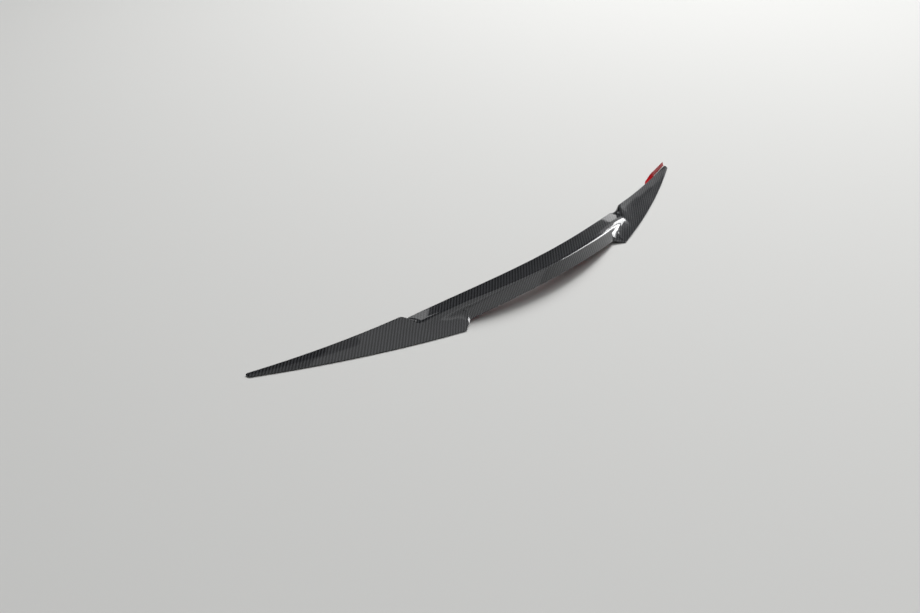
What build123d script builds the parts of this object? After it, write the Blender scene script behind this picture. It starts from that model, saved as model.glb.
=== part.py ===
"""Boot-lid lip spoiler: a bowed, thin-walled laminate moulding with taped edges, lying on its wings.

X runs along the span to the right as seen from behind, Y forward, Z up. Every station of the moulding
is a section in a plane of constant X: a front edge, a top edge and a rear edge, joined by the skin.
"""

import os
from math import cos, radians, sin

from build123d import *

# Span, measured from the middle plane
SPAN = 1240.0  # tip to tip
NOTCH_INNER = 216.0  # the rear edge of the middle ends here
NOTCH_WIDTH = 25.5  # from there to the start of the wing's trailing edge
RECESS_HALF = 304.0  # the recessed middle ends here, at the crest
RECESS_END = 21.0  # from there to the inner peak of the wing
SOLID_TIP = 130.0  # length of solid laminate at each tip

# Skin
WALL = 2.2
CREST_ROUND = 5.0
FLARE = 4.5  # hollow of the rear face just outside the notch
PEAK_HOLLOW = 1.5  # hollow of the wing's blade at the peak
FLANGE = 12.0  # turned-in foot of the wing's front wall

# Crest of the middle: distance behind the tips, and height above the floor
CREST_BACK_MIDDLE = 170.4
CREST_BACK_HALFWAY = 153.3
CREST_BACK_END = 104.8
CREST_HEIGHT_MIDDLE = 54.2
CREST_HEIGHT_HALFWAY = 46.4
CREST_HEIGHT_END = 19.5

# Recess in front of the crest, and rear face below it
RECESS_DEPTH_MIDDLE = 46.0
RECESS_DEPTH_END = 36.0
RECESS_RISE_MIDDLE = 5.8
RECESS_RISE_END = 6.5
FACE_LEAN_MIDDLE = 10.2
FACE_LEAN_NOTCH = 13.3
FACE_HEIGHT_MIDDLE = 27.0
FACE_HEIGHT_NOTCH = 30.4

# Wing: top edge of its front wall from the peak to the tip, and trailing edge from the notch to the tip
PEAK_BACK = 73.1
PEAK_HEIGHT = 31.2
PEAK_FOOT = 7.0  # height of the front wall's foot at the peak
WING_BACK_HALFWAY = 34.3
WING_HEIGHT_HALFWAY = 11.9
TIP_FORWARD = 6.9
TIP_HEIGHT = 4.2
WALL_DRAFT = 0.2  # lean of the front wall, per unit of height
TRAIL_BACK_NOTCH = 165.1
TRAIL_BACK_HALFWAY = 95.3
TRAIL_BACK_TIP = 2.4

# Foam tape and its release film
TAPE_WIDTH = 10.0
TAPE_THICK = 1.2
LINER_THICK = 0.2
GLUE_GAP = 0.15  # clearance between skin, tape and film
TAPE_INSET = 2.0
TAPE_END_GAP = 10.0  # from the end of a strip to the end of its seat
TIP_TAPE_GAP = 22.0  # from the end of the wing's front strip to the tip
WING_REAR_INSET = 14.0  # from the trailing edge to the strip under the blade
LINER_TAIL = 135.0  # peeled length of the right film
LINER_TAIL_TURN = 40.0  # length over which it comes away, and then stands up
LINER_TAIL_GAP = 2.0  # from the end of that film to the tip
LINER_TAIL_REACH = 12.0  # how far forward it is pulled
LINER_TAIL_RISE = 2.0  # how far its end is off the floor
LINER_TAIL_TILT = 65.0  # how steeply its end stands, in degrees

HALF_SPAN = SPAN / 2
NOTCH_OUTER = NOTCH_INNER + NOTCH_WIDTH
PEAK_HALF = RECESS_HALF + RECESS_END
HOLLOW_HALF = HALF_SPAN - SOLID_TIP
CENTRE_TAPE_HALF = RECESS_HALF - TAPE_END_GAP
REAR_TAPE_HALF = NOTCH_INNER - TAPE_END_GAP
WING_TAPE_START = PEAK_HALF + TAPE_END_GAP
WING_TAPE_END = HALF_SPAN - TIP_TAPE_GAP
WING_REAR_TAPE_END = HOLLOW_HALF - TAPE_END_GAP
LINER_TAIL_END = HALF_SPAN - LINER_TAIL_GAP
LINER_TAIL_START = LINER_TAIL_END - LINER_TAIL
TAPE_STACK = TAPE_THICK + LINER_THICK + 2 * GLUE_GAP
SIDES = {"left": -1, "right": 1}


def mix(start, end, share):
    """Straight change from start to end."""
    return start + (end - start) * share


def ease(share):
    """Smooth step from 0 to 1."""
    share = min(max(share, 0.0), 1.0)
    return share * share * (3 - 2 * share)


def even_curve(x, half, middle, halfway, end):
    """Curve that is even in x, through its values at 0, half / 2 and half."""
    u = (x / half) ** 2
    return middle * (1 - u) * (1 - 4 * u) + halfway * 16 / 3 * u * (1 - u) + end * u * (4 * u - 1) / 3


def bent_curve(share, start, halfway, end):
    """Parabola through its values at shares 0, 1/2 and 1."""
    early = start * (1 - share) * (1 - 2 * share)
    late = end * share * (2 * share - 1)
    return early + halfway * 4 * share * (1 - share) + late


def inward(direction):
    """Normal that points into the hollow, for a skin that runs from front to rear."""
    return Vector(0, -direction.Z, direction.Y)


def crest(x):
    """Top edge of the middle."""
    back = even_curve(x, RECESS_HALF, CREST_BACK_MIDDLE, CREST_BACK_HALFWAY, CREST_BACK_END)
    height = even_curve(x, RECESS_HALF, CREST_HEIGHT_MIDDLE, CREST_HEIGHT_HALFWAY, CREST_HEIGHT_END)
    return Vector(x, -back, height)


def recess_front(x):
    """Front edge of the recessed middle."""
    share = (x / RECESS_HALF) ** 2
    depth = mix(RECESS_DEPTH_MIDDLE, RECESS_DEPTH_END, share)
    rise = mix(RECESS_RISE_MIDDLE, RECESS_RISE_END, share)
    return crest(x) + Vector(0, depth, -rise)


def rear_edge(x):
    """Lower edge of the middle's rear face."""
    share = (x / NOTCH_INNER) ** 2
    lean = mix(FACE_LEAN_MIDDLE, FACE_LEAN_NOTCH, share)
    height = mix(FACE_HEIGHT_MIDDLE, FACE_HEIGHT_NOTCH, share)
    return crest(x) - Vector(0, lean, height)


def wing_top(x):
    """Top edge of the wing's front wall."""
    share = (x - PEAK_HALF) / (HALF_SPAN - PEAK_HALF)
    back = bent_curve(share, PEAK_BACK, WING_BACK_HALFWAY, -TIP_FORWARD)
    return Vector(x, -back, bent_curve(share, PEAK_HEIGHT, WING_HEIGHT_HALFWAY, TIP_HEIGHT))


def wing_foot(x):
    """Foot of the wing's front wall, which comes down to the tape's seat along the wing."""
    share = (x - PEAK_HALF) / (HALF_SPAN - PEAK_HALF)
    top = wing_top(x)
    height = mix(PEAK_FOOT, TAPE_STACK, 1 - (1 - share) ** 4)
    return Vector(x, top.Y + WALL_DRAFT * (top.Z - height), height)


def trailing_foot(x):
    """Underside of the wing's trailing edge, on the floor."""
    share = (x - NOTCH_OUTER) / (HALF_SPAN - NOTCH_OUTER)
    return Vector(x, -bent_curve(share, TRAIL_BACK_NOTCH, TRAIL_BACK_HALFWAY, TRAIL_BACK_TIP), 0)


def hollow(x):
    """Hollow of the rear face and the blade: deepest just outside the notch, and gone at the recess end."""
    if x < NOTCH_OUTER:
        return 0.0
    if x < PEAK_HALF:
        return FLARE * max(0.0, (RECESS_HALF - x) / (RECESS_HALF - NOTCH_OUTER))
    return PEAK_HOLLOW * max(0.0, (HOLLOW_HALF - x) / (HOLLOW_HALF - PEAK_HALF))


def face_control(top, tail, depth):
    """Control point of the curve from the top edge to the rear edge, hollowed to a depth halfway."""
    return (top + tail) * 0.5 + inward((tail - top).normalized()) * (2 * depth)


class Station:
    """Named points of the skin's section at one distance from the middle plane."""

    def __init__(self, distance):
        x = abs(distance)
        on_wing = x >= PEAK_HALF
        self.top = wing_top(x) if on_wing else crest(x)
        self.front = wing_foot(x) if on_wing else recess_front(x)
        self.rise = (self.top - self.front).normalized()
        if x >= NOTCH_OUTER:
            self.inner_tail = trailing_foot(x)
            reach = self.inner_tail - face_control(self.top, self.inner_tail, hollow(x))
            self.tail = self.inner_tail - inward(reach.normalized()) * WALL
            self.control = face_control(self.top, self.tail, hollow(x))
        else:
            self.tail = rear_edge(x)
            self.control = face_control(self.top, self.tail, hollow(x))
            self.inner_tail = self.tail + inward((self.tail - self.control).normalized()) * WALL
        self.fall = (self.control - self.top).normalized()
        self.end = (self.tail - self.control).normalized()
        self.inner_control = self.control + inward((self.tail - self.top).normalized()) * WALL
        if on_wing:
            self.inner_front = self.front - Vector(0, WALL / -inward(self.rise).Y, 0)
        else:
            self.inner_front = self.front + inward(self.rise) * WALL
        self.flange_end = self.front - Vector(0, min(FLANGE, 0.6 * (self.front - self.inner_tail).Y), 0)
        self.side = -1 if distance < 0 else 1

    def inner_corner(self):
        """Inside of the top edge, one wall from both skins."""
        lean = inward(self.rise) + inward(self.fall)
        return self.top + lean * (WALL / (1 + inward(self.rise).dot(inward(self.fall))))

    def inner_point(self, reach):
        """Point on the inside of the rear face, a distance from the rear edge."""
        corner = self.inner_corner()
        share = reach / (corner - self.inner_tail).length
        near = mix(self.inner_tail, self.inner_control, share)
        return mix(near, mix(self.inner_control, corner, share), share)

    def outer_edges(self):
        """Skin from the front edge over the rounded top to the rear edge."""
        radius = min(CREST_ROUND, 0.3 * (self.top - self.front).length)
        start = self.top - self.rise * radius
        finish = self.top + self.fall * radius
        return [
            self.line(self.front, start),
            self.curve(start, self.top, finish),
            self.curve(finish, self.control, self.tail),
        ]

    def shell_face(self, *foot):
        """Thin-walled section, open below, with any points of a foot between its inner and outer front."""
        corner = self.inner_corner()
        edges = self.outer_edges()
        edges.append(self.line(self.tail, self.inner_tail))
        edges.append(self.curve(self.inner_tail, self.inner_control, corner))
        inside = [corner, *(foot or [self.inner_front]), self.front]
        edges.extend(self.line(start, finish) for start, finish in zip(inside, inside[1:]))
        return Face(Wire(edges))

    def wing_face(self):
        """Thin-walled section of the wing, whose front wall ends in a turned-in flange."""
        lift = Vector(0, 0, WALL)
        knee = self.inner_front + self.rise * (WALL / self.rise.Z)
        return self.shell_face(knee, self.flange_end + lift, self.flange_end)

    def tip_face(self):
        """Solid section of the tip, with a flat seat for the tape."""
        edges = self.outer_edges()
        edges.append(self.line(self.tail, self.inner_tail))
        edges.append(self.line(self.inner_tail, self.flange_end))
        edges.append(self.line(self.flange_end, self.front))
        return Face(Wire(edges))

    def strip_face(self, start, along, normal, low, high, width=TAPE_WIDTH):
        """Strip section that lies from low to high off a seat."""
        finish = start + along * width
        near = [start + normal * low, finish + normal * low]
        far = [finish + normal * high, start + normal * high]
        return self.polygon(near + far)

    def placed(self, point):
        """Point on this station's own side of the middle plane."""
        return Vector(self.side * point.X, point.Y, point.Z)

    def line(self, start, finish):
        """Straight edge on this station's side."""
        return Line(self.placed(start), self.placed(finish))

    def curve(self, start, control, finish):
        """Quadratic edge on this station's side."""
        return Bezier(self.placed(start), self.placed(control), self.placed(finish))

    def polygon(self, corners):
        """Flat face on this station's side."""
        return Face(Wire.make_polygon([self.placed(corner) for corner in corners], close=True))


def spread(start, finish, count):
    """Evenly spaced distances, ends included."""
    return [mix(start, finish, step / (count - 1)) for step in range(count)]


def spoiler_shell():
    """The moulding: a bowed middle, a notch, a recess end, a hollow wing and a solid tip on each side."""
    middle = loft([Station(x).shell_face() for x in spread(-NOTCH_INNER, NOTCH_INNER, 9)])
    notch = loft([Station(x).shell_face() for x in (NOTCH_INNER, NOTCH_OUTER)], ruled=True)
    shoulder = loft([Station(x).shell_face() for x in spread(NOTCH_OUTER, RECESS_HALF, 3)])
    recess_end = loft([Station(x).shell_face() for x in (RECESS_HALF, PEAK_HALF)], ruled=True)
    wing = loft([Station(x).wing_face() for x in spread(PEAK_HALF, HOLLOW_HALF, 6)])
    tip = loft([Station(x).tip_face() for x in spread(HOLLOW_HALF, HALF_SPAN, 3)])
    half = notch + shoulder + recess_end + wing + tip
    return middle + half + mirror(half, about=Plane.YZ)


def layer(name):
    """Near and far side of a tape or film, measured off its seat."""
    if name == "tape":
        return GLUE_GAP, GLUE_GAP + TAPE_THICK
    return 2 * GLUE_GAP + TAPE_THICK, TAPE_STACK


def front_centre_strip(name):
    """Strip under the front edge of the recess."""
    faces = []
    for x in spread(-CENTRE_TAPE_HALF, CENTRE_TAPE_HALF, 13):
        station = Station(x)
        seat = station.inner_front + station.rise * TAPE_INSET
        faces.append(station.strip_face(seat, station.rise, inward(station.rise), *layer(name)))
    return loft(faces)


def rear_centre_strip(name):
    """Strip inside the rear face."""
    faces = []
    for x in spread(-REAR_TAPE_HALF, REAR_TAPE_HALF, 9):
        station = Station(x)
        seat = station.inner_tail - station.end * TAPE_INSET
        faces.append(station.strip_face(seat, station.end * -1, inward(station.end), *layer(name)))
    return loft(faces)


def front_wing_strip(name, side):
    """Strip under the foot of the wing's front wall. The right film's end is peeled forward and stands up."""
    peeled = name == "liner" and side > 0
    faces = []
    for x in spread(WING_TAPE_START, LINER_TAIL_END if peeled else WING_TAPE_END, 20):
        station = Station(side * x)
        room = (station.front - station.flange_end).Y - TAPE_INSET
        turned = (x - LINER_TAIL_START) / LINER_TAIL_TURN if peeled else 0.0
        reach = LINER_TAIL_REACH * ease(turned)
        tilt = radians(LINER_TAIL_TILT) * ease(turned - 1)
        width = TAPE_WIDTH if reach > 0 else min(TAPE_WIDTH, room)
        seat = station.front + Vector(0, reach - TAPE_INSET / 2 - width, LINER_TAIL_RISE * ease(turned - 1))
        along = Vector(0, cos(tilt), sin(tilt))
        faces.append(station.strip_face(seat, along, inward(along) * -1, *layer(name), width))
    return loft(faces)


def rear_wing_strip(name, side):
    """Strip under the wing's blade."""
    faces = []
    for x in spread(WING_TAPE_START, WING_REAR_TAPE_END, 9):
        station = Station(side * x)
        seat = station.inner_point(WING_REAR_INSET)
        along = (station.inner_point(WING_REAR_INSET + TAPE_WIDTH) - seat).normalized()
        faces.append(station.strip_face(seat, along, inward(along * -1), *layer(name)))
    return loft(faces, ruled=True)


def build_nodes():
    """Every piece by name, with the origin under the middle of the whole."""
    nodes = {"spoiler_shell": spoiler_shell()}
    for name in ("tape", "liner"):
        nodes[f"front_{name}_centre"] = front_centre_strip(name)
        nodes[f"rear_{name}_centre"] = rear_centre_strip(name)
        for side_name, side in SIDES.items():
            nodes[f"front_{name}_{side_name}"] = front_wing_strip(name, side)
            nodes[f"rear_{name}_{side_name}"] = rear_wing_strip(name, side)
    box = Compound(list(nodes.values())).bounding_box()
    shift = Vector(0, -(box.min.Y + box.max.Y) / 2, -box.min.Z)
    return {name: Pos(shift) * solid for name, solid in nodes.items()}


os.makedirs("parts", exist_ok=True)
for node_name, node_solid in build_nodes().items():
    export_step(node_solid, f"parts/{node_name}.step")
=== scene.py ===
"""Looks of a carbon boot-lid lip spoiler that lies on a pale floor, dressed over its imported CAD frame."""
import logging
import math
from dataclasses import dataclass, field
from enum import Enum
from typing import Any, Callable

import bpy
import numpy as np
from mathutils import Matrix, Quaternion, Vector


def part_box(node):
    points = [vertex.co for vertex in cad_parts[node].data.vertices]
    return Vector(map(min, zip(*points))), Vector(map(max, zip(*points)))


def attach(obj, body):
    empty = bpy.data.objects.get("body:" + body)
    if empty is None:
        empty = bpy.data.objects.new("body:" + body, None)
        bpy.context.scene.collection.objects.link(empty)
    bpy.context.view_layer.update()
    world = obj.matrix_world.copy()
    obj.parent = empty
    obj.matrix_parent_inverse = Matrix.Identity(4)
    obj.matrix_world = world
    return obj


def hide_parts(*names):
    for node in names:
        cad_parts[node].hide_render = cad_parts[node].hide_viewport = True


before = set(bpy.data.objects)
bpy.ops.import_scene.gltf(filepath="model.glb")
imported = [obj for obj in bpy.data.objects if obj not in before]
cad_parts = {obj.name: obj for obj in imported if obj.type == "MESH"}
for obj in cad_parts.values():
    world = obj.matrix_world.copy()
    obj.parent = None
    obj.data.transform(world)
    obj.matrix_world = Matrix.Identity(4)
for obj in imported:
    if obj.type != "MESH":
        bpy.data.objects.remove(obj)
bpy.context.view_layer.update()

LOG = logging.getLogger("spoiler")
MM = 0.001
IMAGE_WIDTH = 920
LEAST_SLOPE = 0.05


class Side(Enum):
    """Where a strip lies along the span, with the sign of its X."""

    LEFT = -1
    CENTRE = 0
    RIGHT = 1


class Edge(Enum):
    """Edge of the moulding that a strip is stuck to."""

    FRONT = "front"
    REAR = "rear"


class Layer(Enum):
    """Layer of a stuck strip."""

    TAPE = "tape"
    LINER = "liner"


class Part(Enum):
    """Kind of section: open middle, hollow wing with a foot, or solid tip."""

    MIDDLE = 0
    WING = 1
    TIP = 2


class Reach(Enum):
    """What a lamp acts on."""

    EVERYTHING = "everything"
    MATT = "matt"
    GLOSS = "gloss"


def linear(hex_colour: str) -> tuple[float, float, float, float]:
    """Turns an sRGB hex colour into linear RGBA.

    Args:
        hex_colour: Colour such as "#1a2b3c".

    Returns:
        The colour's linear red, green and blue, and an alpha of 1.
    """
    parts = [int(hex_colour[i:i + 2], 16) / 255 for i in (1, 3, 5)]
    values = [p / 12.92 if p <= 0.04045 else ((p + 0.055) / 1.055) ** 2.4 for p in parts]
    return values[0], values[1], values[2], 1.0


def add_node(tree: bpy.types.NodeTree, kind: str, inputs: dict[Any, Any], **settings: Any) -> bpy.types.Node:
    """Adds a node, sets its options, and fills or links its inputs.

    Args:
        tree: Node tree that takes the node.
        kind: Node type's name.
        inputs: Input name or number, with a value or the output socket to link from.
        settings: Node options by name.

    Returns:
        The new node.
    """
    node = tree.nodes.new(kind)
    for name, value in settings.items():
        setattr(node, name, value)
    for name, value in inputs.items():
        if isinstance(value, bpy.types.NodeSocket):
            tree.links.new(value, node.inputs[name])
        else:
            node.inputs[name].default_value = value
    return node


def math_node(tree: bpy.types.NodeTree, operation: str, *values: Any) -> bpy.types.NodeSocket:
    """Adds one arithmetic step and returns its result socket."""
    return add_node(tree, "ShaderNodeMath", dict(enumerate(values)), operation=operation).outputs[0]


def new_material(name: str) -> tuple[bpy.types.Material, bpy.types.NodeTree, bpy.types.Node]:
    """Makes an empty material.

    Args:
        name: Material's name.

    Returns:
        The material, its node tree and its output node.
    """
    material = bpy.data.materials.new(name)
    material.use_nodes = True
    tree = material.node_tree
    tree.nodes.clear()
    return material, tree, tree.nodes.new("ShaderNodeOutputMaterial")


@dataclass(frozen=True)
class TwillFinish:
    """Clear-coated 2x2 twill carbon laminate: dark crossing tows seen through a deep gloss resin.

    The warp is painted lighter than the weft as a painted sheen, the light that tows of one direction catch,
    so that their floats line up in the fine diagonal stripes of a twill; both are one black fibre.
    """

    tow_mm: float = 2.0
    float_tows: float = 2.0
    arch: float = 0.45
    warp_sheen_hex: str = "#434447"
    weft_shade_hex: str = "#151618"
    groove_resin_and_shade_hex: str = "#060607"
    groove_shade_height: float = 0.45
    metallic: float = 0.35
    roughness: float = 0.36
    specular: float = 0.1
    coat_ior: float = 1.52
    coat_roughness: float = 0.05
    relief_mm: float = 0.05
    peel_mm: float = 14.0
    peel_depth_mm: float = 0.02

    def build(self) -> bpy.types.Material:
        """Makes the material. The tows follow the piece's own map, in millimetres.

        Returns:
            The finished material.
        """
        material, tree, output = new_material("clear_coated_twill_carbon")
        place = add_node(tree, "ShaderNodeUVMap", {}, uv_map="tow_mm")
        axes = add_node(tree, "ShaderNodeSeparateXYZ", {0: place.outputs[0]})
        across = math_node(tree, "DIVIDE", axes.outputs[0], self.tow_mm)
        along = math_node(tree, "DIVIDE", axes.outputs[1], self.tow_mm)
        across_part = math_node(tree, "FRACT", across)
        along_part = math_node(tree, "FRACT", along)
        diagonal = math_node(tree, "ADD", math_node(tree, "FLOOR", across), math_node(tree, "FLOOR", along))
        step = math_node(tree, "FLOORED_MODULO", diagonal, 2 * self.float_tows)
        warp_on_top = math_node(tree, "LESS_THAN", step, self.float_tows - 0.5)
        warp = self._tow(tree, across_part, math_node(tree, "ADD", step, along_part))
        weft_place = math_node(tree, "SUBTRACT", math_node(tree, "ADD", step, across_part), self.float_tows)
        weft = self._tow(tree, along_part, weft_place)
        height = add_node(tree, "ShaderNodeMix", {0: warp_on_top, 2: weft, 3: warp},
                          data_type="FLOAT").outputs[0]
        # Painted sheen and shade: warp and weft are one black fibre, painted as a lit copy and a shaded copy.
        tows = add_node(tree, "ShaderNodeMix",
                        {0: warp_on_top, 6: linear(self.weft_shade_hex), 7: linear(self.warp_sheen_hex)},
                        data_type="RGBA")
        # Partly the dark resin between the tows and partly painted shade: each tow darkens to near black
        # where it dips into the groove.
        shade = add_node(tree, "ShaderNodeMapRange", {0: height, 1: 0.0, 2: self.groove_shade_height, 3: 0.0, 4: 1.0})
        colour = add_node(tree, "ShaderNodeMix",
                          {0: shade.outputs[0], 6: linear(self.groove_resin_and_shade_hex), 7: tows.outputs[2]},
                          data_type="RGBA")
        relief = add_node(tree, "ShaderNodeBump",
                          {"Strength": 1.0, "Distance": self.relief_mm * MM, "Height": height})
        spot = add_node(tree, "ShaderNodeTexCoord", {})
        peel = add_node(tree, "ShaderNodeTexNoise",
                        {"Vector": spot.outputs["Object"], "Scale": 1 / (self.peel_mm * MM), "Detail": 1.0})
        wave = add_node(tree, "ShaderNodeBump",
                        {"Strength": 1.0, "Distance": self.peel_depth_mm * MM, "Height": peel.outputs[0]})
        # The tows give a soft grey sheen, and the faintly wavy resin over them a sharp mirror of the lamps.
        shader = add_node(tree, "ShaderNodeBsdfPrincipled", {
            "Base Color": colour.outputs[2], "Metallic": self.metallic, "Roughness": self.roughness,
            "Specular IOR Level": self.specular, "Normal": relief.outputs[0], "Coat Weight": 1.0,
            "Coat Roughness": self.coat_roughness, "Coat IOR": self.coat_ior, "Coat Normal": wave.outputs[0]})
        tree.links.new(shader.outputs[0], output.inputs[0])
        return material

    def _tow(self, tree: bpy.types.NodeTree, across: bpy.types.NodeSocket,
             along: bpy.types.NodeSocket) -> bpy.types.NodeSocket:
        """Height of one tow: a parabola across its width, 4 u (1 - u), times a half sine over its float.

        Args:
            tree: Node tree that takes the steps.
            across: Share of the tow's width, from 0 to 1.
            along: Place along the float in tows, from 0 to the float's length.

        Returns:
            Socket with the height, from 0 to 1.
        """
        crown = math_node(tree, "MULTIPLY", across, math_node(tree, "SUBTRACT", 1.0, across))
        arch = math_node(tree, "SINE", math_node(tree, "MULTIPLY", along, math.pi / self.float_tows))
        rise = math_node(tree, "MULTIPLY_ADD", arch, self.arch, 1 - self.arch)
        return math_node(tree, "MULTIPLY", math_node(tree, "MULTIPLY", crown, 4.0), rise)


@dataclass(frozen=True)
class FoamFinish:
    """Acrylic foam tape: matt near-black with fine open cells on its cut sides."""

    colour_hex: str = "#202021"
    cell_mm: float = 0.6
    pit_mm: float = 0.15
    pit_strength: float = 0.6
    pit_shade_tone: float = 0.7
    rim_highlight_tone: float = 1.15
    rim_reach: float = 0.8
    roughness: float = 0.85

    def build(self) -> bpy.types.Material:
        """Makes the material, with a painted shade in the pits of the cells and a painted highlight on their
        rims.

        Returns:
            The finished material.
        """
        material, tree, output = new_material("black_acrylic_foam")
        spot = add_node(tree, "ShaderNodeTexCoord", {})
        cells = add_node(tree, "ShaderNodeTexVoronoi",
                         {"Vector": spot.outputs["Object"], "Scale": 1 / (self.cell_mm * MM)})
        pits = add_node(tree, "ShaderNodeBump", {
            "Strength": self.pit_strength, "Distance": self.pit_mm * MM, "Height": cells.outputs[0]})
        # Painted shade in the pits of the cells and painted highlight on their rims, following the depth of
        # the bumps.
        tone = add_node(tree, "ShaderNodeMapRange",
                        {0: cells.outputs[0], 1: 0.0, 2: self.rim_reach, 3: self.pit_shade_tone, 4: self.rim_highlight_tone})
        colour = add_node(tree, "ShaderNodeMix", {0: 1.0, 6: linear(self.colour_hex), 7: tone.outputs[0]},
                          data_type="RGBA", blend_type="MULTIPLY")
        shader = add_node(tree, "ShaderNodeBsdfPrincipled", {
            "Base Color": colour.outputs[2], "Roughness": self.roughness, "Normal": pits.outputs[0]})
        tree.links.new(shader.outputs[0], output.inputs[0])
        return material


@dataclass(frozen=True)
class FilmFinish:
    """Polyethylene release film: thin red with a soft sheen and faint draw lines along its length."""

    colour_hex: str = "#a80914"
    line_mm: float = 1.2
    line_stretch: float = 0.08
    ridge_mm: float = 0.05
    ridge_strength: float = 0.5
    noise_low: float = 0.3
    noise_high: float = 0.7
    thick_tone: float = 0.82
    thin_tone: float = 1.1
    roughness: float = 0.5
    ior: float = 1.51
    specular: float = 0.1

    def build(self) -> bpy.types.Material:
        """Makes the material, with noise that is stretched along X for the draw lines.

        Returns:
            The finished material.
        """
        material, tree, output = new_material("red_release_film")
        spot = add_node(tree, "ShaderNodeTexCoord", {})
        stretch = add_node(tree, "ShaderNodeMapping",
                           {"Vector": spot.outputs["Object"], "Scale": (self.line_stretch, 1.0, 1.0)})
        lines = add_node(tree, "ShaderNodeTexNoise",
                         {"Vector": stretch.outputs[0], "Scale": 1 / (self.line_mm * MM), "Detail": 2.0})
        ridges = add_node(tree, "ShaderNodeBump", {
            "Strength": self.ridge_strength, "Distance": self.ridge_mm * MM, "Height": lines.outputs[0]})
        tone = add_node(tree, "ShaderNodeMapRange",
                        {0: lines.outputs[0], 1: self.noise_low, 2: self.noise_high,
                         3: self.thick_tone, 4: self.thin_tone})
        colour = add_node(tree, "ShaderNodeMix", {0: 1.0, 6: linear(self.colour_hex), 7: tone.outputs[0]},
                          data_type="RGBA", blend_type="MULTIPLY")
        shader = add_node(tree, "ShaderNodeBsdfPrincipled",
                          {"Base Color": colour.outputs[2], "Roughness": self.roughness, "IOR": self.ior,
                           "Specular IOR Level": self.specular, "Normal": ridges.outputs[0]})
        tree.links.new(shader.outputs[0], output.inputs[0])
        return material


@dataclass(frozen=True)
class FloorFinish:
    """Smooth matt pale floor paint, which gives back an even light and no shine."""

    colour_hex: str = "#d6d6d4"
    roughness: float = 1.0

    def build(self) -> bpy.types.Material:
        """Makes the material.

        Returns:
            The finished material.
        """
        material, tree, output = new_material("pale_floor_paint")
        shader = add_node(tree, "ShaderNodeBsdfPrincipled", {
            "Base Color": linear(self.colour_hex), "Roughness": self.roughness, "Specular IOR Level": 0.0})
        tree.links.new(shader.outputs[0], output.inputs[0])
        return material


def mix(start: Any, end: Any, share: Any) -> Any:
    """Straight change from start to end."""
    return start + (end - start) * share


def ease(share: np.ndarray) -> np.ndarray:
    """Smooth step from 0 to 1."""
    share = np.clip(share, 0.0, 1.0)
    return share * share * (3 - 2 * share)


def unit(vectors: np.ndarray) -> np.ndarray:
    """Vectors of length 1."""
    return vectors / np.maximum(np.linalg.norm(vectors, axis=-1, keepdims=True), 1e-9)


def inward(directions: np.ndarray) -> np.ndarray:
    """Normals into the hollow, for a skin that runs from front to rear, as (back, height)."""
    return np.stack([directions[..., 1], -directions[..., 0]], -1)


def run(start: np.ndarray, end: np.ndarray, count: int) -> np.ndarray:
    """Straight runs of points between two rails, both ends left out."""
    share = np.linspace(0, 1, count + 2)[None, 1:-1, None]
    return mix(start[:, None], end[:, None], share)


def bend(start: np.ndarray, control: np.ndarray, end: np.ndarray, count: int) -> np.ndarray:
    """Quadratic curves between two rails, both ends kept."""
    t = np.linspace(0, 1, count)[None, :, None]
    return (1 - t) ** 2 * start[:, None] + 2 * t * (1 - t) * control[:, None] + t ** 2 * end[:, None]


def corner(before: np.ndarray, tip: np.ndarray, after: np.ndarray, radius: Any, count: int) -> np.ndarray:
    """Rounded corners: quadratic curves that leave and meet the two sides a radius from the tip."""
    radius = np.broadcast_to(np.asarray(radius, float), tip.shape[:1])[:, None]
    return bend(tip + unit(before - tip) * radius, tip, tip + unit(after - tip) * radius, count)


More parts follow.
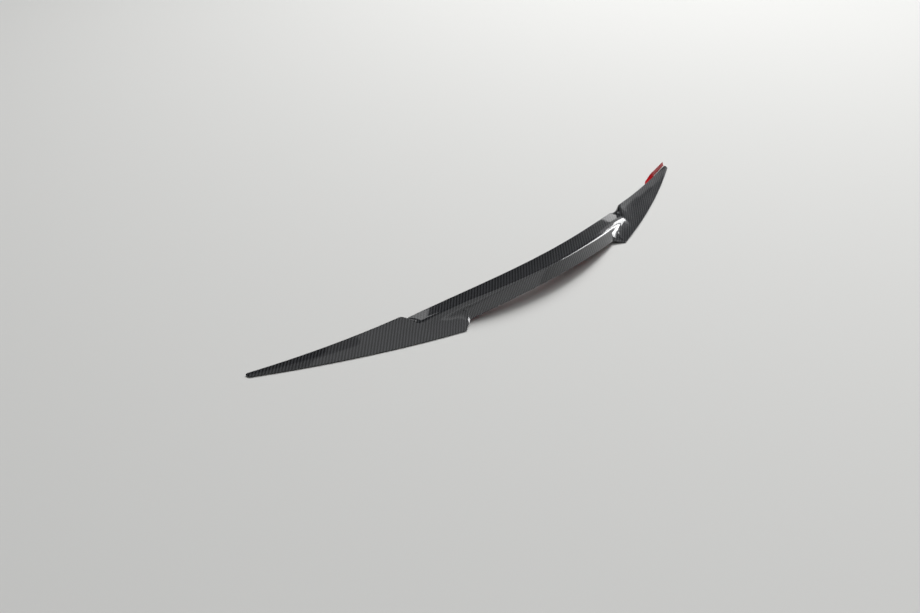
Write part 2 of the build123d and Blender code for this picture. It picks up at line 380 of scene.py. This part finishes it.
@dataclass(frozen=True)
class SkinPlan:
    """Driving sizes of the moulding in millimetres, the same as the solid's, and its rails.

    A rail is worked out for an array of distances from the middle plane, and gives rows of
    (distance behind the tips, height above the floor).
    """

    # Where each stretch ends, counted from the middle plane, and the length of the solid tip.
    half_span: float = 620.0
    notch_inner: float = 216.0
    notch_outer: float = 241.5
    recess_half: float = 304.0
    peak_half: float = 325.0
    solid_tip: float = 130.0
    # Wall, rounding, hollows and foot of the skin.
    wall: float = 2.2
    crest_round: float = 5.0
    flare: float = 4.5
    peak_hollow: float = 1.5
    flange: float = 12.0
    flange_share: float = 0.6
    # Middle: at the middle plane, halfway out and at the recess end, or at its two ends.
    crest_back: tuple[float, float, float] = (170.4, 153.3, 104.8)
    crest_height: tuple[float, float, float] = (54.2, 46.4, 19.5)
    recess_depth: tuple[float, float] = (46.0, 36.0)
    recess_rise: tuple[float, float] = (5.8, 6.5)
    face_lean: tuple[float, float] = (10.2, 13.3)
    face_height: tuple[float, float] = (27.0, 30.4)
    # Wing: at its inner end, halfway out and at the tip.
    wing_back: tuple[float, float, float] = (73.1, 34.3, -6.9)
    wing_height: tuple[float, float, float] = (31.2, 11.9, 4.2)
    peak_foot: float = 7.0
    wall_draft: float = 0.2
    trail_back: tuple[float, float, float] = (165.1, 95.3, 2.4)
    # Tape and film, and the peeled end of one film.
    tape_width: float = 10.0
    tape_thick: float = 1.2
    liner_thick: float = 0.2
    glue_gap: float = 0.15
    tape_inset: float = 2.0
    tape_end_gap: float = 10.0
    tip_tape_gap: float = 22.0
    wing_rear_inset: float = 14.0
    liner_tail: float = 135.0
    liner_tail_turn: float = 40.0
    liner_tail_gap: float = 2.0
    liner_tail_reach: float = 12.0
    liner_tail_rise: float = 2.0
    liner_tail_tilt: float = 65.0

    @property
    def hollow_half(self) -> float:
        """Distance from the middle plane to the solid tip."""
        return self.half_span - self.solid_tip

    @property
    def tape_stack(self) -> float:
        """Height of a tape, its film and both clearances."""
        return self.tape_thick + self.liner_thick + 2 * self.glue_gap

    @staticmethod
    def even(x: np.ndarray, half: float, values: tuple[float, float, float]) -> np.ndarray:
        """Curve that is even in x, through its values at 0, half / 2 and half."""
        u = (x / half) ** 2
        return (values[0] * (1 - u) * (1 - 4 * u) + values[1] * 16 / 3 * u * (1 - u)
                + values[2] * u * (4 * u - 1) / 3)

    @staticmethod
    def bent(share: np.ndarray, values: tuple[float, float, float]) -> np.ndarray:
        """Parabola through its values at shares 0, 1/2 and 1."""
        return (values[0] * (1 - share) * (1 - 2 * share) + values[1] * 4 * share * (1 - share)
                + values[2] * share * (2 * share - 1))

    def crest(self, x: np.ndarray) -> np.ndarray:
        """Top edge of the middle."""
        return np.stack([self.even(x, self.recess_half, self.crest_back),
                         self.even(x, self.recess_half, self.crest_height)], -1)

    def recess_front(self, x: np.ndarray) -> np.ndarray:
        """Front edge of the recessed middle."""
        share = (x / self.recess_half) ** 2
        return self.crest(x) - np.stack([mix(*self.recess_depth, share), mix(*self.recess_rise, share)], -1)

    def rear_edge(self, x: np.ndarray) -> np.ndarray:
        """Lower edge of the middle's rear face."""
        share = (x / self.notch_inner) ** 2
        return self.crest(x) + np.stack([mix(*self.face_lean, share), -mix(*self.face_height, share)], -1)

    def notch_share(self, x: np.ndarray) -> np.ndarray:
        """Share of the way across the notch, from 0 to 1."""
        return np.clip((x - self.notch_inner) / (self.notch_outer - self.notch_inner), 0, 1)

    def wing_share(self, x: np.ndarray) -> np.ndarray:
        """Share of the way from the wing's peak to its tip."""
        return (x - self.peak_half) / (self.half_span - self.peak_half)

    def wing_top(self, x: np.ndarray) -> np.ndarray:
        """Top edge of the wing's front wall."""
        share = self.wing_share(x)
        return np.stack([self.bent(share, self.wing_back), self.bent(share, self.wing_height)], -1)

    def wing_foot(self, x: np.ndarray) -> np.ndarray:
        """Foot of the wing's front wall, which comes down to the tape's seat by a fourth power.

        Args:
            x: Distances from the middle plane.

        Returns:
            Rows of (back, height).
        """
        top = self.wing_top(x)
        height = mix(self.peak_foot, self.tape_stack, 1 - (1 - self.wing_share(x)) ** 4)
        return np.stack([top[:, 0] - self.wall_draft * (top[:, 1] - height), height], -1)

    def trailing_foot(self, x: np.ndarray) -> np.ndarray:
        """Underside of the wing's trailing edge, on the floor."""
        share = (x - self.notch_outer) / (self.half_span - self.notch_outer)
        return np.stack([self.bent(share, self.trail_back), np.zeros_like(x)], -1)

    def hollow(self, x: np.ndarray) -> np.ndarray:
        """Hollow of the rear face and the blade: deepest just outside the notch, none at the recess end."""
        places = [self.notch_inner, self.notch_outer, self.recess_half, self.peak_half, self.hollow_half]
        return np.interp(x, places, [0.0, self.flare, 0.0, self.peak_hollow, 0.0])

    @staticmethod
    def control(top: np.ndarray, tail: np.ndarray, hollow: np.ndarray) -> np.ndarray:
        """Control points of the curves from the top edge to the rear edge."""
        return (top + tail) / 2 + inward(unit(tail - top)) * (2 * hollow[:, None])


@dataclass
class Stations:
    """Named rails of the skin's sections at an array of signed distances from the middle plane."""

    plan: SkinPlan
    x: np.ndarray
    kind: np.ndarray
    soft: float = 5.0
    soft_spots: int = 11
    soft_fade: float = 20.0
    face_soft: float = 10.0
    face_spots: int = 9
    tip_edge: float = 0.3
    plain_foot: tuple[float, float] = (0.6, 0.8)
    top: np.ndarray = field(init=False)
    front: np.ndarray = field(init=False)
    tail: np.ndarray = field(init=False)
    inner_tail: np.ndarray = field(init=False)
    control: np.ndarray = field(init=False)
    inner_front: np.ndarray = field(init=False)
    inner_corner: np.ndarray = field(init=False)
    inner_control: np.ndarray = field(init=False)
    flange_end: np.ndarray = field(init=False)
    foot: list[np.ndarray] = field(init=False)

    def __post_init__(self) -> None:
        """Works out every rail, joining the middle, the notch, the recess end and the wing."""
        plan = self.plan
        x = np.abs(self.x)
        self.top = self._softened(x, lambda spots: self._joined(spots, plan.crest, plan.wing_top))
        self.front = self._softened(x, lambda spots: self._joined(spots, plan.recess_front, plan.wing_foot))
        middle_tail, middle_inner = self._middle_tail(np.minimum(x, plan.notch_inner))
        wing_tail = self._softened(x, lambda spots: self._wing_tail(np.maximum(spots, plan.notch_outer))[0])
        wing_inner = self._wing_tail(np.maximum(x, plan.notch_outer))[1]
        share = plan.notch_share(x)[:, None]
        self.tail = mix(middle_tail, wing_tail, share)
        self.inner_tail = mix(middle_inner, wing_inner, share)
        around = np.abs(x[:, None] + np.linspace(-self.face_soft, self.face_soft, self.face_spots)[None])
        soft_tail = mix(middle_tail, wing_tail, plan.notch_share(around).mean(1)[:, None])
        self.control = plan.control(self.top, soft_tail, plan.hollow(around).mean(1))
        rise, fall = unit(self.top - self.front), unit(self.control - self.top)
        lean = inward(rise) + inward(fall)
        spread = 1 + np.sum(inward(rise) * inward(fall), -1, keepdims=True)
        corner_inside = self.top + lean * plan.wall / spread
        control_inside = self.control + inward(unit(self.tail - self.top)) * plan.wall
        width = np.minimum(plan.flange, plan.flange_share * (self.inner_tail - self.front)[:, 0])
        self.flange_end = self.front + self._vector(width, 0.0)
        solid = (self.kind == Part.TIP.value)[:, None]
        self.inner_corner = np.where(solid, self.flange_end, corner_inside)
        self.inner_control = np.where(solid, (self.inner_tail + self.flange_end) / 2, control_inside)
        self._lay_foot(rise)

    def _lay_foot(self, rise: np.ndarray) -> None:
        """Lays the inside of the front edge: a turned-in foot on the hollow wing, a plain edge elsewhere.

        Args:
            rise: Direction from the front edge to the top edge at each section.
        """
        plan = self.plan
        wing = (self.kind == Part.WING.value)[:, None]
        solid = (self.kind == Part.TIP.value)[:, None]
        upright = self.front + self._vector(plan.wall / inward(rise)[:, 0].clip(LEAST_SLOPE, 1), 0.0)
        tip_front = mix(self.front, self.flange_end, self.tip_edge)
        plain = np.where(solid, tip_front, self.front + inward(rise) * plan.wall)
        lift = self._vector(0.0, plan.wall)
        knee = upright + rise * plan.wall / rise[:, 1:].clip(LEAST_SLOPE, 1)
        self.inner_front = np.where(wing, self.flange_end, plain)
        plain_knee, plain_ledge = (mix(self.inner_corner, plain, share) for share in self.plain_foot)
        self.foot = [np.where(wing, knee, plain_knee), np.where(wing, self.flange_end + lift, plain_ledge)]

    def _vector(self, back: Any, height: Any) -> np.ndarray:
        """Rows of (back, height), one for each section."""
        shape = self.x.shape
        return np.stack([np.broadcast_to(back, shape), np.broadcast_to(height, shape)], -1)

    def _softened(self, x: np.ndarray, rail: Callable[[np.ndarray], np.ndarray]) -> np.ndarray:
        """Rail whose corners at the recess end are rounded by a mean over a short run of the span.

        Args:
            x: Distances from the middle plane.
            rail: Function that gives the sharp rail at such distances.

        Returns:
            Rows of (back, height).
        """
        spots = np.abs(x[:, None] + np.linspace(-self.soft, self.soft, self.soft_spots)[None])
        spots = np.minimum(spots, self.plan.half_span)
        rows = rail(spots.ravel()).reshape(*spots.shape, 2)
        reach = np.abs(x - mix(self.plan.recess_half, self.plan.peak_half, 0.5))
        return mix(rows.mean(1), rail(x), ease(reach / self.soft_fade - 1)[:, None])

    def _joined(self, x: np.ndarray, inner: Callable[[np.ndarray], np.ndarray],
                outer: Callable[[np.ndarray], np.ndarray]) -> np.ndarray:
        """Rail of the middle up to the recess end and of the wing from its peak, straight between them.

        Args:
            x: Distances from the middle plane.
            inner: Function that gives the middle's rail.
            outer: Function that gives the wing's rail.

        Returns:
            Rows of (back, height).
        """
        start, end = self.plan.recess_half, self.plan.peak_half
        share = np.clip((x - start) / (end - start), 0, 1)[:, None]
        return mix(inner(np.minimum(x, start)), outer(np.maximum(x, end)), share)

    def _middle_tail(self, x: np.ndarray) -> tuple[np.ndarray, np.ndarray]:
        """Lower edge of the middle's rear face, squarely cut.

        Args:
            x: Distances from the middle plane.

        Returns:
            Its outer and inner rails, as rows of (back, height).
        """
        tail = self.plan.rear_edge(x)
        control = self.plan.control(self.plan.crest(x), tail, np.zeros_like(x))
        return tail, tail + inward(unit(tail - control)) * self.plan.wall

    def _wing_tail(self, x: np.ndarray) -> tuple[np.ndarray, np.ndarray]:
        """Trailing edge of the wing, squarely cut.

        Args:
            x: Distances from the middle plane.

        Returns:
            Its outer and inner rails, as rows of (back, height).
        """
        inner = self.plan.trailing_foot(x)
        top = self._joined(x, self.plan.crest, self.plan.wing_top)
        reach = inner - self.plan.control(top, inner, self.plan.hollow(x))
        return inner - inward(unit(reach)) * self.plan.wall, inner


@dataclass
class Moulding:
    """Places sections of (back, height) in the part's frame and makes meshes of them."""

    plan: SkinPlan
    rear_y: float = field(init=False)

    def __post_init__(self) -> None:
        """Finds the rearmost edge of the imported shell, from which distances forward are counted."""
        self.rear_y = float(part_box("spoiler_shell")[0][1])

    def place(self, x: np.ndarray, sections: np.ndarray) -> np.ndarray:
        """Turns sections into points of the part's frame, in metres.

        Args:
            x: Signed distance of each section from the middle plane, in millimetres.
            sections: Rows of (back, height) points, one row per section.

        Returns:
            Array of points, sections by points by 3.
        """
        rear_back = self.plan.crest_back[0] + self.plan.face_lean[0]
        y = self.rear_y + (rear_back - sections[..., 0]) * MM
        wide = np.broadcast_to(x[:, None] * MM, y.shape)
        return np.stack([wide, y, sections[..., 1] * MM], -1)

    @staticmethod
    def tube(name: str, loops: np.ndarray) -> bpy.types.Object:
        """Closed skin over a row of closed loops, with flat ends.

        Args:
            name: Piece's name.
            loops: Points, loops by points by 3.

        Returns:
            The new object, smooth shaded, with its faces outwards.
        """
        count, size = loops.shape[:2]
        index = np.arange(count * size).reshape(count, size)
        turned = np.roll(index, -1, 1)
        sides = np.stack([index[:-1], turned[:-1], turned[1:], index[1:]], -1).reshape(-1, 4)
        faces = sides.tolist() + [index[0][::-1].tolist(), index[-1].tolist()]
        mesh = bpy.data.meshes.new(name)
        mesh.from_pydata(loops.reshape(-1, 3).tolist(), [], faces)
        mesh.polygons.foreach_set("use_smooth", np.ones(len(faces), bool))
        mesh.update()
        piece = bpy.data.objects.new(name, mesh)
        bpy.context.scene.collection.objects.link(piece)
        return piece


def dress(piece: bpy.types.Object, node: str, material: bpy.types.Material) -> None:
    """Gives a piece its finish and has it stand for a CAD node.

    Args:
        piece: Finished piece, at the origin.
        node: CAD node that it replaces.
        material: Finish.
    """
    piece.data.materials.append(material)
    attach(piece, "root")
    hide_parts(node)
    LOG.info("%s: %d faces, stands for %s", piece.name, len(piece.data.polygons), node)


@dataclass
class CarbonShell:
    """The moulding's skin: one closed surface over sections that run from tip to tip."""

    moulding: Moulding
    finish: bpy.types.Material
    # Rounding of the edges and the crest, the crest's in shares of the plan's own.
    edge_round: float = 0.7
    inner_round: float = 1.0
    crest_places: tuple[float, ...] = (0.0, 0.5, 0.76, 0.95)
    crest_past_notch: float = 6.0
    crest_widths: tuple[float, ...] = (0.5, 0.9, 1.5, 2.2, 2.0, 1.9, 1.6)
    crest_limit: float = 0.33
    # Slight hollow of the recess, ridge along the blade and rounded end of the tip.
    ramp_hollow: float = 0.8
    ramp_fade: float = 0.8
    ridge: float = 2.0
    ridge_place: float = 0.3
    ridge_power: float = 1.2
    nose: float = 4.0
    nose_end: float = 0.2
    # Stretches with close sections, and the gap between two kinds of section.
    close_run: float = 8.0
    wing_start: float = 12.0
    step: float = 0.3
    # Sections in each stretch from the middle out, and points in each stretch of a section.
    middle_counts: tuple[int, ...] = (54, 42, 22, 36)
    wing_counts: tuple[int, int] = (12, 46)
    tip_count: int = 40
    nose_count: int = 8
    edge_count: int = 4
    fold_count: int = 3
    crest_count: int = 9
    ramp_count: int = 12
    face_count: int = 26
    inner_count: int = 10

    def stations(self) -> Stations:
        """Lays sections from the left tip to the right one, closer together at the notch and the recess end.

        Returns:
            Rails of the skin at those sections.
        """
        plan = self.moulding.plan
        near = self.close_run
        bounds = [0, plan.notch_inner - near, plan.notch_outer + near,
                  plan.recess_half - near, plan.peak_half]
        stretches = zip(bounds, bounds[1:], self.middle_counts)
        runs = [np.linspace(start, end, count, endpoint=False) for start, end, count in stretches]
        middle = np.concatenate([*runs, [plan.peak_half]])
        root = plan.peak_half + self.wing_start
        root_count, blade_count = self.wing_counts
        wing = np.concatenate([np.linspace(plan.peak_half + self.step, root, root_count, endpoint=False),
                               np.linspace(root, plan.hollow_half, blade_count)])
        tip = np.linspace(plan.hollow_half + self.step, plan.half_span - self.nose, self.tip_count)
        turn = np.linspace(0, math.pi / 2, self.nose_count)[1:]
        nose = plan.half_span - self.nose * (1 - np.sin(turn))
        right = np.concatenate([middle, wing, tip, nose])
        kind = np.repeat([part.value for part in Part], [len(middle), len(wing), len(tip) + len(nose)])
        x = np.concatenate([-right[:0:-1], right])
        return Stations(plan, x, np.concatenate([kind[:0:-1], kind]))

    def crest_radius(self, rails: Stations) -> np.ndarray:
        """Rounding of the crest: straight changes between its widths, and no more than a share of the ramp.

        Args:
            rails: Rails of the skin.

        Returns:
            Distance from the crest at which its curve starts, for each section.
        """
        plan = self.moulding.plan
        places = [*(share * plan.notch_inner for share in self.crest_places),
                  plan.notch_inner + self.crest_past_notch, plan.recess_half, plan.peak_half]
        wanted = np.interp(np.abs(rails.x), places, np.array(self.crest_widths) * plan.crest_round)
        return np.minimum(wanted, self.crest_limit * np.linalg.norm(rails.top - rails.front, axis=-1))

    def ramp(self, rails: Stations, start: np.ndarray, end: np.ndarray) -> np.ndarray:
        """Slope from the front edge to the crest: straight, less a parabola that hollows the recess.

        Args:
            rails: Rails of the skin.
            start: Ends of the front edge's rounding.
            end: Starts of the crest's rounding.

        Returns:
            Points between the two, one row per section.
        """
        plan = self.moulding.plan
        x = np.abs(rails.x)
        share = np.linspace(0, 1, self.ramp_count + 2)[None, 1:-1, None]
        fade = 1 - self.ramp_fade * ease(x / plan.notch_outer)
        depth = self.ramp_hollow * np.where(x < plan.recess_half, fade, 0)
        hollow = inward(unit(rails.top - rails.front))[:, None] * depth[:, None, None]
        return run(start, end, self.ramp_count) + hollow * 4 * share * (1 - share)

    def face(self, rails: Stations, start: np.ndarray, end: np.ndarray) -> np.ndarray:
        """Rear face and blade: a quadratic curve, raised on the wing to a soft ridge along its middle.

        Args:
            rails: Rails of the skin.
            start: Ends of the crest's rounding.
            end: Starts of the rear edge's rounding.

        Returns:
            Points between the two, one row per section.
        """
        plan = self.moulding.plan
        curve = bend(start, rails.control, end, self.face_count + 2)[:, 1:-1]
        share = np.linspace(-1, 1, self.face_count + 2)[None, 1:-1, None]
        places = [plan.recess_half, mix(plan.peak_half, plan.half_span, self.ridge_place), plan.half_span]
        height = np.interp(np.abs(rails.x), places, [0.0, self.ridge, 0.0])[:, None, None]
        lift = inward(unit(rails.tail - rails.top))[:, None] * height
        return curve - lift * (1 - np.abs(share) ** self.ridge_power)

    def inside(self, rails: Stations) -> np.ndarray:
        """Inside of the skin: from the rear edge up its face, down its front wall and over the foot.

        Args:
            rails: Rails of the skin.

        Returns:
            Points from the rear edge to the front edge, one row per section.
        """
        edge = self.edge_round
        knee, ledge = rails.foot
        tail = corner(rails.tail, rails.inner_tail, rails.inner_control, edge, self.edge_count)
        top = corner(rails.inner_control, rails.inner_corner, knee, self.inner_round, self.edge_count)
        face = bend(tail[:, -1], rails.inner_control, top[:, 0], self.inner_count + 2)[:, 1:-1]
        fold = corner(rails.inner_corner, knee, ledge, edge, self.fold_count)
        lip = corner(knee, ledge, rails.inner_front, edge, self.fold_count)
        front = corner(ledge, rails.inner_front, rails.front, edge, self.edge_count)
        wall = run(top[:, -1], fold[:, 0], self.fold_count)
        foot = run(fold[:, -1], lip[:, 0], self.fold_count)
        return np.concatenate([tail, face, top, wall, fold, foot, lip, front], 1)

    def sections(self, rails: Stations) -> tuple[np.ndarray, int]:
        """Closed sections with rounded edges, from the front edge over the top and back inside.

        Args:
            rails: Rails of the skin.

        Returns:
            The sections, and the number of points from the front edge to the crest.
        """
        front = corner(rails.inner_front, rails.front, rails.top, self.edge_round, self.edge_count)
        crest = corner(rails.front, rails.top, rails.control, self.crest_radius(rails), self.crest_count)
        tail = corner(rails.control, rails.tail, rails.inner_tail, self.edge_round, self.edge_count)
        ramp = self.ramp(rails, front[:, -1], crest[:, 0])
        face = self.face(rails, crest[:, -1], tail[:, 0])
        outline = np.concatenate([front, ramp, crest, face, tail, self.inside(rails)], 1)
        return outline, self.edge_count + self.ramp_count + self.crest_count // 2

    def build(self) -> bpy.types.Object:
        """Makes the shell with its map of tows, and slims the tip's last sections by a circle.

        Returns:
            The finished shell.
        """
        rails = self.stations()
        sections, crest = self.sections(rails)
        plan = self.moulding.plan
        reach = np.clip((np.abs(rails.x) - (plan.half_span - self.nose)) / self.nose, 0, 1)
        slim = np.sqrt(np.maximum(1 - reach ** 2, self.nose_end ** 2))[:, None, None]
        centre = sections.mean(1, keepdims=True)
        sections = centre + (sections - centre) * slim
        loops = self.moulding.place(rails.x, sections)
        piece = Moulding.tube("carbon_shell", loops)
        self.map_tows(piece, rails, sections, crest)
        dress(piece, "spoiler_shell", self.finish)
        return piece

    @staticmethod
    def map_tows(piece: bpy.types.Object, rails: Stations, sections: np.ndarray, crest: int) -> None:
        """Lays the cloth square to the span, by X and by the crest's place plus the skin's length from it.

        Args:
            piece: Shell that takes the map, in millimetres.
            rails: Rails of the skin.
            sections: Sections of the skin.
            crest: Number of the point on the crest.
        """
        steps = np.linalg.norm(np.diff(sections, axis=1), axis=-1)
        length = np.concatenate([np.zeros((len(rails.x), 1)), np.cumsum(steps, 1)], 1)
        length += rails.top[:, :1] - length[:, crest:crest + 1]
        flat = np.stack([np.broadcast_to(rails.x[:, None], length.shape), length], -1).reshape(-1, 2)
        corners = np.empty(len(piece.data.loops), np.int32)
        piece.data.loops.foreach_get("vertex_index", corners)
        layer = piece.data.uv_layers.new(name="tow_mm")
        layer.data.foreach_set("uv", flat[corners].astype(np.float32).ravel())


@dataclass
class StuckStrip:
    """One strip of foam tape or release film, carried along its seat under the moulding."""

    moulding: Moulding
    edge: Edge
    layer: Layer
    side: Side
    finish: bpy.types.Material
    count: int = 90
    around: int = 32
    wide_power: float = 0.3
    deep_power: float = 0.5

    @property
    def node(self) -> str:
        """Name of the CAD node that the strip stands for."""
        return f"{self.edge.value}_{self.layer.value}_{self.side.name.lower()}"

    @property
    def peeled(self) -> bool:
        """True for the right front film, whose end is pulled forward."""
        return (self.edge, self.layer, self.side) == (Edge.FRONT, Layer.LINER, Side.RIGHT)

    def span(self) -> np.ndarray:
        """Spreads the strip's sections over its seat.

        Returns:
            Their signed distances from the middle plane.
        """
        plan = self.moulding.plan
        if self.side is Side.CENTRE:
            half = (plan.recess_half if self.edge is Edge.FRONT else plan.notch_inner) - plan.tape_end_gap
            return np.linspace(-half, half, self.count)
        start = plan.peak_half + plan.tape_end_gap
        end = plan.hollow_half - plan.tape_end_gap
        if self.edge is Edge.FRONT:
            end = plan.half_span - (plan.liner_tail_gap if self.peeled else plan.tip_tape_gap)
        return self.side.value * np.linspace(start, end, self.count)

    def seat(self, rails: Stations) -> tuple[np.ndarray, np.ndarray, np.ndarray, np.ndarray]:
        """Seat of the strip at each section.

        Args:
            rails: Rails of the skin at the strip's sections.

        Returns:
            The seat's near edge, the direction across the strip, the way off the seat, and the width.
        """
        plan = self.moulding.plan
        rise = unit(rails.top - rails.front)
        end = unit(rails.tail - rails.control)
        width = np.full(len(rails.x), plan.tape_width)
        if self.edge is Edge.REAR and self.side is Side.CENTRE:
            return rails.inner_tail - end * plan.tape_inset, -end, inward(end), width
        if self.edge is Edge.REAR:
            near, far = (self.inside(rails, plan.wing_rear_inset + more) for more in (0.0, plan.tape_width))
            along = unit(far - near)
            return near, along, inward(-along), width
        if self.side is Side.CENTRE:
            near = rails.front + inward(rise) * plan.wall + rise * plan.tape_inset
            return near, rise, inward(rise), width
        tail_start = plan.half_span - plan.liner_tail_gap - plan.liner_tail
        turned = np.zeros_like(rails.x)
        if self.peeled:
            turned = (np.abs(rails.x) - tail_start) / plan.liner_tail_turn
        reach = plan.liner_tail_reach * ease(turned)
        tilt = math.radians(plan.liner_tail_tilt) * ease(turned - 1)
        room = (rails.flange_end - rails.front)[:, 0] - plan.tape_inset
        width = np.where(reach > 0, width, np.minimum(width, room))
        shift = np.stack([plan.tape_inset / 2 + width - reach, plan.liner_tail_rise * ease(turned - 1)], -1)
        along = np.stack([-np.cos(tilt), np.sin(tilt)], -1)
        return rails.front + shift, along, np.stack([-np.sin(tilt), -np.cos(tilt)], -1), width

    @staticmethod
    def inside(rails: Stations, reach: float) -> np.ndarray:
        """Points on the inside of the rear face, on its quadratic curve.

        Args:
            rails: Rails of the skin.
            reach: Distance from the rear edge.

        Returns:
            Rows of (back, height).
        """
        chord = np.linalg.norm(rails.inner_corner - rails.inner_tail, axis=-1)
        t = (reach / chord)[:, None]
        near = mix(rails.inner_tail, rails.inner_control, t)
        return mix(near, mix(rails.inner_control, rails.inner_corner, t), t)

    def build(self) -> bpy.types.Object:
        """Makes the strip: a rounded rectangle, whose sine and cosine are raised to powers, along its seat.

        Returns:
            The finished strip.
        """
        plan = self.moulding.plan
        x = self.span()
        rails = Stations(plan, x, np.searchsorted([plan.peak_half, plan.hollow_half], np.abs(x), "right"))
        near, across, off, width = self.seat(rails)
        low, high = plan.glue_gap, plan.glue_gap + plan.tape_thick
        if self.layer is Layer.LINER:
            low, high = high + plan.glue_gap, plan.tape_stack
        turn = np.linspace(0, 2 * math.pi, self.around, endpoint=False)
        wide = np.sign(np.cos(turn)) * np.abs(np.cos(turn)) ** self.wide_power / 2 + 0.5
        deep = np.sign(np.sin(turn)) * np.abs(np.sin(turn)) ** self.deep_power / 2 + 0.5
        sections = (near[:, None] + across[:, None] * (wide[None] * width[:, None])[..., None]
                    + off[:, None] * mix(low, high, deep)[None, :, None])
        piece = Moulding.tube(f"{self.node}_strip", self.moulding.place(x, sections))
        dress(piece, self.node, self.finish)
        return piece


@dataclass(frozen=True)
class Lamp:
    """Rectangular soft lamp that faces the part, in metres and watts, and turned about its own axis."""

    name: str
    place: tuple[float, float, float]
    size: tuple[float, float]
    watts: float
    reach: Reach = Reach.GLOSS
    roll_deg: float = 0.0

    def hang(self) -> None:
        """Hangs the lamp at its place."""
        data = bpy.data.lights.new(self.name, "AREA")
        data.shape = "RECTANGLE"
        data.size, data.size_y = self.size
        data.energy = self.watts
        lamp = bpy.data.objects.new(self.name, data)
        bpy.context.scene.collection.objects.link(lamp)
        lamp.location = self.place
        lamp.visible_diffuse = self.reach is not Reach.GLOSS
        lamp.visible_glossy = self.reach is not Reach.MATT
        facing = Vector(self.place).to_track_quat("Z", "Y")
        roll = Quaternion((0.0, 0.0, 1.0), math.radians(self.roll_deg))
        lamp.rotation_euler = (facing @ roll).to_euler()


LAMPS = (
    # Shapes the matt surfaces and casts the soft shadow.
    Lamp("key_softbox", (3.4, 1.81, 4.6), (3.2, 3.2), 340.0, Reach.MATT),
    # Even light from above, in two sizes so that its edge is soft in the coat.
    Lamp("overhead_card", (0.5, -1.0, 4.0), (4.6, 4.6), 30.0, Reach.EVERYTHING),
    Lamp("overhead_sheet", (0.5, -1.0, 4.05), (6.4, 6.4), 42.0, Reach.EVERYTHING),
    # Dim sheen behind the part.
    Lamp("back_card", (0.6, -3.6, 2.4), (4.0, 2.8), 24.0),
    Lamp("rear_card", (1.6, -4.2, 0.5), (8.0, 1.2), 28.0),
    # Bright line along the crest, and its end in the inner corner.
    Lamp("side_strip", (3.599, -1.602, 0.695), (2.9, 1.1), 100.0, roll_deg=-33.0),
    Lamp("corner_strip", (4.14, 0.4, 0.85), (1.63, 0.4), 13.0),
    # Lighter band on the right wing, and light patches at both ends of the recess.
    Lamp("wing_card", (3.72, 1.15, 0.88), (2.06, 1.2), 3.6, roll_deg=4.0),
    Lamp("right_end_card", (3.19, 2.41, 0.17), (1.2, 0.36), 1.4),
    Lamp("left_end_card", (0.665, 3.3, 2.06), (1.0, 1.25), 5.5),
)


@dataclass
class Studio:
    """Pale floor, soft lamps, plain backdrop and a camera at the photograph's angle."""

    focal_px: float = 880.0
    sensor_mm: float = 36.0
    heading_deg: float = 43.06
    pitch_deg: float = 34.63
    camera_place: tuple[float, float, float] = (-1.1714, -0.9612, 0.9882)
    backdrop_hex: str = "#4a4b4c"
    floor_half: float = 30.0
    floor_drop: float = 0.0004

    def floor(self) -> None:
        """Lays the floor just under the part."""
        half, low = self.floor_half, -self.floor_drop
        corners = [(-half, -half, low), (half, -half, low), (half, half, low), (-half, half, low)]
        mesh = bpy.data.meshes.new("floor")
        mesh.from_pydata(corners, [], [(0, 1, 2, 3)])
        plane = bpy.data.objects.new("floor", mesh)
        bpy.context.scene.collection.objects.link(plane)
        plane.data.materials.append(FloorFinish().build())

    def world(self) -> None:
        """Sets an even grey backdrop."""
        world = bpy.data.worlds.new("studio")
        world.use_nodes = True
        bpy.context.scene.world = world
        world.node_tree.nodes["Background"].inputs[0].default_value = linear(self.backdrop_hex)

    def camera(self) -> None:
        """Stands the camera where the photograph was taken."""
        data = bpy.data.cameras.new("camera")
        data.sensor_width = self.sensor_mm
        data.lens = self.focal_px / IMAGE_WIDTH * self.sensor_mm
        camera = bpy.data.objects.new("camera", data)
        bpy.context.scene.collection.objects.link(camera)
        camera.location = self.camera_place
        camera.location.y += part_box("spoiler_shell")[0][1]
        camera.rotation_euler = (math.radians(90 - self.pitch_deg), 0.0, math.radians(-self.heading_deg))
        bpy.context.scene.camera = camera

    def build(self) -> None:
        """Sets up the whole studio."""
        bpy.context.scene.view_settings.view_transform = "Standard"
        self.floor()
        for lamp in LAMPS:
            lamp.hang()
        self.world()
        self.camera()


def main() -> None:
    """Builds the shell, its strips and the studio."""
    logging.basicConfig(level=logging.INFO, format="%(name)s: %(message)s")
    moulding = Moulding(SkinPlan())
    CarbonShell(moulding, TwillFinish().build()).build()
    finishes = {Layer.TAPE: FoamFinish().build(), Layer.LINER: FilmFinish().build()}
    for edge in Edge:
        for side in Side:
            for layer, finish in finishes.items():
                StuckStrip(moulding, edge, layer, side, finish).build()
    Studio().build()


if __name__ == "__main__":
    main()
